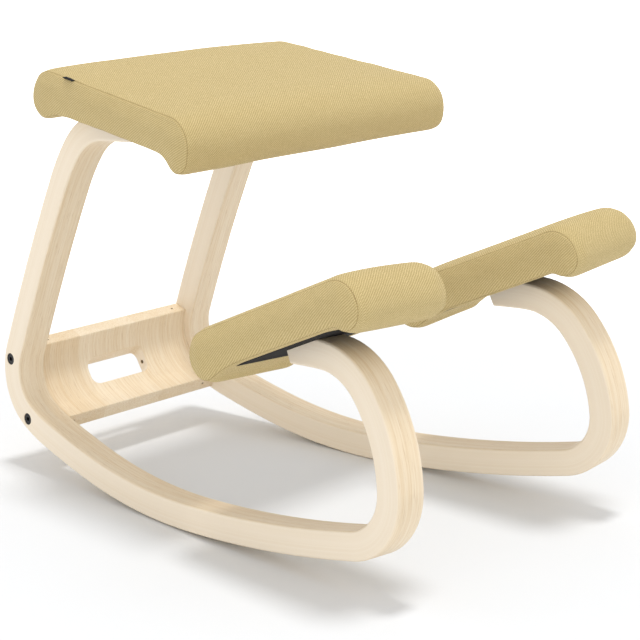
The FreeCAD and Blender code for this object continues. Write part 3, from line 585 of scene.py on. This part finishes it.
class Cover:
    """The sewn cover as a closed grid: a band round the profile and a panel sewn in at each side."""

    def __init__(self, cushion, inset, spacing):
        self.cushion = cushion
        self.inset = inset
        self.spacing = spacing
        self.points = []
        self.faces = []
        self.face_cloth = []
        self.long_count = 2 * round(cushion.ends[1][0] / spacing)
        self.end_count = 2 * round(cushion.half * END_SHARE / spacing)
        self.ring_count = 2 * self.long_count + 2 * self.end_count
        self.seam_half = cushion.seam_half
        self.loops = {}

    def ring(self, inset, crown):
        key = (round(inset, 3), round(crown, 3))
        if key not in self.loops:
            self.loops[key] = resample(self.cushion.loop(inset, crown), self.ring_count)
        return self.loops[key]

    def add_ring(self, value, outward, inset, crown):
        """Adds one ring of points at a share of the width, and returns the number of its first."""
        first = len(self.points)
        ring, total = self.ring(inset, crown)
        for spot in ring:
            x = value * (self.seam_half + outward - math.sin(self.cushion.flare) * spot.x)
            y = spot.x * (1 - (1 - math.cos(self.cushion.flare)) * value * value)
            self.points.append(Vector((x, y, spot.y)))
        return first, total

    def columns(self):
        """Shares of the half width, closer together beside the seams."""
        offsets = list(SEAM_STEPS)
        while offsets[-1] < self.seam_half - self.spacing:
            offsets.append(offsets[-1] + self.spacing * BAND_SHARE)
        half = [-(1 - step / self.seam_half) for step in offsets]
        half[-1] = 0.0
        return half + [-value for value in half[-2::-1]]

    def add_band(self):
        columns = self.columns()
        firsts = []
        for value in columns:
            from_seam = self.seam_half * (1 - abs(value))
            drawn = self.cushion.draw_in * (1 - smooth_step(from_seam, 0.0, self.cushion.rounding))
            crown = self.cushion.crown * (1 - value * value)
            firsts.append(self.add_ring(value, 0.0, self.inset + drawn, crown))
        for (first, total), (following, _) in zip(firsts, firsts[1:]):
            for number in range(self.ring_count):
                after = (number + 1) % self.ring_count
                corners = [first + number, first + after, following + after, following + number]
                self.faces.append(corners)
                runs = [number, number + 1, number + 1, number]
                self.face_cloth.append([(self.points[corner].x, total * run / self.ring_count)
                                        for corner, run in zip(corners, runs)])
        return firsts[0][0], firsts[-1][0]

    def add_side_face(self, corners):
        """A side panel's face, its cloth turned a little from the cushion's length."""
        cosine, sine = math.cos(self.cushion.side_turn), math.sin(self.cushion.side_turn)
        places = []
        for corner in corners:
            y, z = self.points[corner].y + CLOTH_SHIFT, self.points[corner].z
            places.append((y * cosine + z * sine, z * cosine - y * sine))
        self.faces.append(corners)
        self.face_cloth.append(places)

    def add_side(self, value, seam_first):
        """The panel inside one seam: two rings that follow the seam, then a grid."""
        previous = seam_first
        for inward, outward in SIDE_RINGS:
            inset = self.inset + self.cushion.draw_in + inward
            following, _ = self.add_ring(value, outward, inset, 0.0)
            for number in range(self.ring_count):
                after = (number + 1) % self.ring_count
                corners = [previous + number, previous + after, following + after, following + number]
                if value < 0:
                    corners = [following + number, following + after, previous + after, previous + number]
                self.add_side_face(corners)
            previous = following
        self.add_grid(value, previous, SIDE_RINGS[-1][1])

    def add_grid(self, value, first, outward_start):
        """The middle of a side panel: a grid stretched inside its second ring, bulging outwards."""
        half_long = self.long_count // 2
        long_count, end_count = self.long_count, self.end_count

        def ring_at(number):
            return first + number % self.ring_count

        grid = []
        for column in range(long_count + 1):
            if column == 0:
                grid.append([ring_at(half_long + row) for row in range(end_count + 1)])
                continue
            if column == long_count:
                grid.append([ring_at(-half_long - row) for row in range(end_count + 1)])
                continue
            line = [ring_at(half_long - column)]
            for row in range(1, end_count):
                self.points.append(Vector())
                line.append(len(self.points) - 1)
            line.append(ring_at(half_long + end_count + column))
            grid.append(line)
        points = self.points
        for column in range(1, long_count):
            for row in range(1, end_count):
                u = column / long_count
                v = row / end_count
                across = points[grid[0][row]] * (1 - u) + points[grid[long_count][row]] * u
                down = points[grid[column][0]] * (1 - v) + points[grid[column][end_count]] * v
                top = points[grid[0][0]] * (1 - u) + points[grid[long_count][0]] * u
                low = points[grid[0][end_count]] * (1 - u) + points[grid[long_count][end_count]] * u
                spot = across + down - top * (1 - v) - low * v
                rim = min(column, long_count - column, row, end_count - row) * self.spacing
                share = smooth_step(rim, BULGE_FROM * self.spacing, BULGE_TO * self.spacing)
                outward = (self.cushion.side_bulge - outward_start) * share
                points[grid[column][row]] = spot + Vector((value * outward, 0, 0))
        for column in range(long_count):
            for row in range(end_count):
                corners = [grid[column][row], grid[column + 1][row],
                           grid[column + 1][row + 1], grid[column][row + 1]]
                if value > 0:
                    corners.reverse()
                self.add_side_face(corners)

    def build(self, name):
        """The mesh, and the numbers of the points on its two seams."""
        right_seam, left_seam = self.add_band()
        self.add_side(-1, right_seam)
        self.add_side(1, left_seam)
        mesh = bpy.data.meshes.new(name)
        mesh.from_pydata([spot * MM for spot in self.points], [], self.faces)
        write_cloth(mesh, [place for face in self.face_cloth for place in face], "CORNER")
        seam = set(range(right_seam, right_seam + self.ring_count))
        seam |= set(range(left_seam, left_seam + self.ring_count))
        # the seam attribute marks the seam rings, where the cover's material paints the seam's shadow
        seam_shade_mark = mesh.attributes.new("seam", "FLOAT", "POINT")
        for number in seam:
            seam_shade_mark.data[number].value = 1.0
        shade_smooth(mesh)
        return mesh, seam


def swell(piece, held, cap):
    """Blows the cover up a little with cloth simulation, and limits how far each point moves."""
    start = [vertex.co.copy() for vertex in piece.data.vertices]
    group = piece.vertex_groups.new(name="held")
    for index in held:
        group.add([index], 1.0, "REPLACE")
    cloth = piece.modifiers.new("swell", "CLOTH")
    settings = cloth.settings
    settings.quality = 5
    settings.mass = 0.3
    settings.tension_stiffness = 12
    settings.compression_stiffness = 12
    settings.shear_stiffness = 5
    settings.bending_stiffness = 0.8
    settings.use_pressure = True
    settings.uniform_pressure_force = 4.0
    settings.vertex_group_mass = "held"
    settings.effector_weights.gravity = 0.0
    cloth.collision_settings.use_collision = False
    frames = 20
    scene = bpy.context.scene
    scene.frame_start = 1
    scene.frame_end = frames
    for number in range(1, frames + 1):
        scene.frame_set(number)
    shaped = piece.evaluated_get(bpy.context.evaluated_depsgraph_get())
    moved = [vertex.co.copy() for vertex in shaped.data.vertices]
    piece.modifiers.remove(cloth)
    scene.frame_set(1)
    farthest = 0.0
    for vertex, before, after in zip(piece.data.vertices, start, moved):
        step = after - before
        farthest = max(farthest, step.length)
        if step.length > cap:
            step *= cap / step.length
        vertex.co = before + step
    piece.vertex_groups.clear()
    print("swell", piece.name, len(start), "points, farthest mm", round(farthest / MM, 2))


def finish_cover(mesh, cushion, seam, seed):
    """Fills the cover out between its seams, then sews these in: a groove, a soft lip to each side
    and small puckers. The underside is left flat over the board, and deeper under the lining."""
    groove, lip = -1.0, 0.35
    pucker, wave = 0.85, 0.7
    pucker_scale, wave_scale = 0.066, 0.013
    pucker_from, pucker_to = 2.0, 17.0
    lip_from, lip_to = 0.3, 1.6
    full_from, full_to = 0.5, cushion.rounding * 1.7
    under_depth = 3.0
    clearance, lining_room, lining_blend = 0.1, 1.0, 3.0
    flat_reach, flat_depth = 10, 4
    normals = [vertex.normal.copy() for vertex in mesh.vertices]
    for vertex in mesh.vertices:
        spot = vertex.co / MM
        from_seam = abs(cushion.seam_half - math.sin(cushion.flare) * spot.y - abs(spot.x))
        bottom = cushion.underside_level(spot.y)
        under = bottom is not None and spot.z < bottom + under_depth
        near = 1 - smooth_step(from_seam, pucker_from, pucker_to)
        place = Vector((spot.x * 0.25, spot.y, spot.z)) * pucker_scale + Vector((seed, 0, 0))
        shift = noise.noise(place) * pucker * near
        shift += noise.noise(spot * wave_scale + Vector((0, seed, 0))) * wave * (1 - near)
        if not under:
            shift += cushion.fullness * smooth_step(from_seam, full_from, full_to)
        if lip_from < from_seam < lip_to:
            shift += lip
        if vertex.index in seam:
            shift = groove
        vertex.co = (spot + normals[vertex.index] * shift) * MM

    first, last, margin = cushion.window
    for vertex in mesh.vertices:
        spot = vertex.co / MM
        bottom = cushion.underside_level(spot.y)
        if bottom is None:
            continue
        inside = min(spot.y - first, last - spot.y, cushion.half_width - margin - abs(spot.x))
        low = bottom + clearance + lining_room * smooth_step(inside, -lining_blend, 1.0)
        if spot.z < low or (inside > -flat_reach and spot.z < low + flat_depth):
            spot.z = low
            vertex.co = spot * MM


def make_cover(cushion, name, replaced, seed, shape):
    """Makes one cushion's cover. A second cushion of the same kind starts from the first one's shape."""
    inset, spacing = 0.2, 5.0
    farthest = 4.0
    held_depth = 0.9
    seam_crease = 0.7
    mesh, seam = Cover(cushion, inset, spacing).build(name)
    piece = add_object(name, mesh)
    if shape is None:
        held = set(seam)
        for vertex in mesh.vertices:
            spot = vertex.co / MM
            bottom = cushion.underside_level(spot.y)
            if bottom is not None and spot.z < bottom + held_depth:
                held.add(vertex.index)
        swell(piece, held, farthest * MM)
        shape = [vertex.co.copy() for vertex in mesh.vertices]
    else:
        for vertex, source in zip(mesh.vertices, shape):
            vertex.co = source
    mesh.update()
    finish_cover(mesh, cushion, seam, seed)
    crease = mesh.attributes.new("crease_edge", "FLOAT", "EDGE")
    for edge in mesh.edges:
        if edge.vertices[0] in seam and edge.vertices[1] in seam:
            crease.data[edge.index].value = seam_crease
    mesh.transform(to_metres(cushion.place))
    mesh.update()
    dress(piece, COVER_TWILL)
    smooth = piece.modifiers.new("fine", "SUBSURF")
    smooth.levels = 1
    smooth.render_levels = 1
    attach(piece, "root")
    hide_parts(*replaced)
    return shape


def to_metres(place):
    """A placement written in millimetres, for a mesh that is already in metres."""
    moved = place.copy()
    moved.translation *= MM
    return moved


def make_lining(cushion, name, replaced, seed):
    """The black cloth stapled under a cushion, following the solid's underside."""
    gap, spacing = 0.3, 5
    lift, thickness = 0.62, 0.8
    ripple_height, ripple_scale = 0.12, 0.05
    first, last, margin = cushion.window
    half = cushion.half_width - margin - gap
    long_count = round((last - first) / spacing)
    wide_count = round(2 * half / spacing)
    points = []
    places = []
    for row in range(long_count + 1):
        back = first + gap + (last - first - 2 * gap) * row / long_count
        level = cushion.underside_level(back)
        for column in range(wide_count + 1):
            across = -half + 2 * half * column / wide_count
            rim = min(row, long_count - row, column, wide_count - column)
            ripple = 0.0
            if rim > 0:
                ripple = noise.noise(Vector((across, back, seed)) * ripple_scale) * ripple_height
            points.append(Vector((across, back, level + lift + ripple)))
            places.append((across, back))
    faces = []
    for row in range(long_count):
        for column in range(wide_count):
            corner = row * (wide_count + 1) + column
            faces.append([corner, corner + wide_count + 1, corner + wide_count + 2, corner + 1])
    mesh = bpy.data.meshes.new(name)
    mesh.from_pydata([(cushion.place @ spot) * MM for spot in points], [], faces)
    write_cloth(mesh, places, "POINT")
    shade_smooth(mesh)
    piece = add_object(name, mesh)
    thick = piece.modifiers.new("thick", "SOLIDIFY")
    thick.thickness = thickness * MM
    thick.offset = 0.0
    dress(piece, BLACK_CLOTH)
    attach(piece, "root")
    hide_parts(replaced)


def tilted_place(back, up, slope):
    return Matrix.Translation((0, back, up)) @ Matrix.Rotation(math.radians(slope), 4, "X")


# Each cushion's width, thickness and ends. An end is its reach, top radius, roll radius, roll drop
# and hollow radius. The window under the lining is its front, its rear and the margin beside it.

def make_cushions():
    seat = Cushion(413.0, 46.0, (145.5, 33.5, 19.0, 15.5, 30.0), (144.0, 33.0, 22.0, 13.0, 120.0),
                   (-70.0, 76.0, 13.0), tilted_place(86.0, 480.0, 7.5))
    seat.flare = math.radians(4.2)
    seat.crown = 3.0
    make_cover(seat, "seat_cushion", ["seat_cover", "seat_foam"], 3.0, None)
    make_lining(seat, "seat_lining", "seat_under_cloth", 1.0)
    make_tag(seat)
    pad_shape = None
    pad_tilt = tilted_place(-204.5, 287.0, -24.3)
    for side in (RIGHT, LEFT):
        name = "knee_pad_" + SIDE_NAMES[side]
        pad = Cushion(131.0, 48.0, (131.0, 31.0, 23.0, 9.0, 15.0), (149.0, 30.0, 24.0, 8.0, 200.0),
                      (-64.0, 88.0, 13.0), runner_place(side) @ pad_tilt)
        pad.crown = 2.0
        pad.draw_in = 1.0
        pad.rounding = 9.0
        pad.fullness = 2.6
        pad.side_bulge = 4.5
        pad.side_turn = math.radians(15)
        pad_shape = make_cover(pad, name + "_cushion", [name + "_cover", name + "_foam"], 8.0 + side,
                               pad_shape)
        make_lining(pad, name + "_lining", name + "_under_cloth", 5.0 + side)


def make_tag(cushion):
    """A bare black ribbon folded over and caught in the near seam, towards the back of the seat."""
    steps = 14
    near_end, length, below_top = 64.0, 18.0, 0.9
    reach, thick, tucked = 3.4, 0.42, 2.0
    wave, wave_turn, sag = 0.12, 0.55, 0.04
    upper = [(-tucked, thick), (0.0, thick), (reach * 0.6, thick), (reach * 0.92, thick * 0.85)]
    lower = [(outward, -up) for outward, up in reversed(upper)]
    section = upper + [(reach, 0.0)] + lower
    points = []
    places = []
    for step in range(steps + 1):
        back = near_end + length * step / steps
        seam = cushion.seam_half - math.sin(cushion.flare) * back
        root = Vector((-seam, back, cushion.half - below_top))
        lift = wave * math.sin(step * wave_turn)
        for outward, up in section:
            droop = sag * max(0.0, outward) ** 2
            points.append(root + Vector((-outward, 0, up - droop + lift * outward / reach)))
            places.append((back, outward))
    count = len(section)
    faces = []
    for step in range(steps):
        for number in range(count):
            after = (number + 1) % count
            faces.append([step * count + number, step * count + after,
                          (step + 1) * count + after, (step + 1) * count + number])
    faces.append(list(range(count))[::-1])
    faces.append([steps * count + number for number in range(count)])
    mesh = bpy.data.meshes.new("seat_tag")
    mesh.from_pydata([(cushion.place @ spot) * MM for spot in points], [], faces)
    write_cloth(mesh, places, "POINT")
    piece = add_object("seat_tag", mesh)
    settle_normals(mesh)
    shade_smooth(mesh)
    dress(piece, BLACK_CLOTH)
    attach(piece, "root")


def settle_normals(mesh):
    """Turns every face outwards."""
    work = bmesh.new()
    work.from_mesh(mesh)
    bmesh.ops.recalc_face_normals(work, faces=work.faces)
    work.to_mesh(mesh)
    work.free()


# Metal parts and the hidden boards keep their solids and get their materials. The foams are part of
# the cushions that stand for them.

def dress_nodes():
    for name, node in nodes.items():
        if "_bolt_" in name:
            dress(node, BLACK_STEEL)
        # the lock pins' dark brown paints the shade of the holes they sit in
        elif name == "insert_lock_pins":
            dress(node, PIN_HOLE_SHADE_STEEL)
        elif "_insert_" in name or name.endswith(("_tee_nuts", "_screws")):
            dress(node, ZINC_STEEL)
        elif name.endswith("_board"):
            dress(node, PLYWOOD)


# Studio

WHITE = (1.0, 1.0, 1.0, 1.0)
WARM_WHITE = (1.0, 0.985, 0.965)


def seen_white(tree):
    """1 for the rays that should meet plain white: the camera's, reflections and glass."""
    path = tree.nodes.new("ShaderNodeLightPath")
    seen = None
    for ray in ("Is Glossy Ray", "Is Transmission Ray"):
        either = tree.nodes.new("ShaderNodeMath")
        either.operation = "MAXIMUM"
        tree.links.new(seen or path.outputs["Is Camera Ray"], either.inputs[0])
        tree.links.new(path.outputs[ray], either.inputs[1])
        seen = either.outputs[0]
    return seen


def make_floor():
    """Pale paper that keeps the chair's shadow near it and fades to plain white further off."""
    reach, drop = 12.0, 0.0003
    glow_from, glow_to, glow_most = 0.65, 1.7, 0.9
    mesh = bpy.data.meshes.new("floor")
    corners = [(-reach, -reach, 0), (reach, -reach, 0), (reach, reach, 0), (-reach, reach, 0)]
    mesh.from_pydata(corners, [], [[0, 1, 2, 3]])
    floor = add_object("floor", mesh)
    floor.location.z = -drop
    recipe = Recipe("floor_paper")
    point = object_point(recipe)
    grain = recipe.noise(point, 900.0, 2.0)
    seen = seen_white(recipe.tree)
    bounce = recipe.mix(recipe.window(grain, 0.3, 0.7), linear(236, 239, 243), linear(240, 242, 246))
    paper = recipe.mix(recipe.window(grain, 0.3, 0.7), linear(230, 232, 234), linear(233, 234, 236))
    colour = recipe.mix(seen, bounce, paper)
    rough = recipe.window(grain, 0.3, 0.7, 0.9, 0.95)
    x, y, _ = recipe.split(point)
    squares = recipe.math("ADD", recipe.math("MULTIPLY", x, x), recipe.math("MULTIPLY", y, y))
    glow = recipe.window(recipe.math("SQRT", squares), glow_from, glow_to, 0.0, glow_most)
    recipe.finish(Base_Color=colour, Roughness=rough, Specular_IOR_Level=0.0, Emission_Color=WHITE,
                  Emission_Strength=recipe.math("MULTIPLY", seen, glow))
    dress(floor, recipe.material)


def make_world():
    """White all round, a little dimmer as a light than as the camera sees it."""
    world = bpy.data.worlds.new("studio")
    world.use_nodes = True
    bpy.context.scene.world = world
    tree = world.node_tree
    background = tree.nodes["Background"]
    background.inputs["Color"].default_value = WHITE
    strength = tree.nodes.new("ShaderNodeMapRange")
    light_strength, seen_strength = 0.80, 1.0
    strength.inputs["To Min"].default_value = light_strength
    strength.inputs["To Max"].default_value = seen_strength
    tree.links.new(seen_white(tree), strength.inputs["Value"])
    tree.links.new(strength.outputs["Result"], background.inputs["Strength"])


def sun_light(name, place, angle, strength, colour=WHITE[:3]):
    data = bpy.data.lights.new(name, "SUN")
    data.angle = math.radians(angle)
    data.energy = strength
    data.color = colour
    lamp = bpy.data.objects.new(name, data)
    lamp.rotation_mode = "QUATERNION"
    lamp.rotation_quaternion = (-Vector(place)).to_track_quat("-Z", "Y")
    bpy.context.scene.collection.objects.link(lamp)


def make_studio():
    make_floor()
    make_world()
    sun_light("overhead", (0.06, -0.05, 1.0), 11.0, 1.32)
    sun_light("side", (-0.95, -0.35, 0.42), 50.0, 0.34, WARM_WHITE)
    sun_light("front", (0.25, -0.95, 0.30), 50.0, 0.24, WARM_WHITE)
    bpy.context.scene.view_settings.view_transform = "Standard"


place_camera()
make_woodwork()
make_cushions()
dress_nodes()
make_studio()
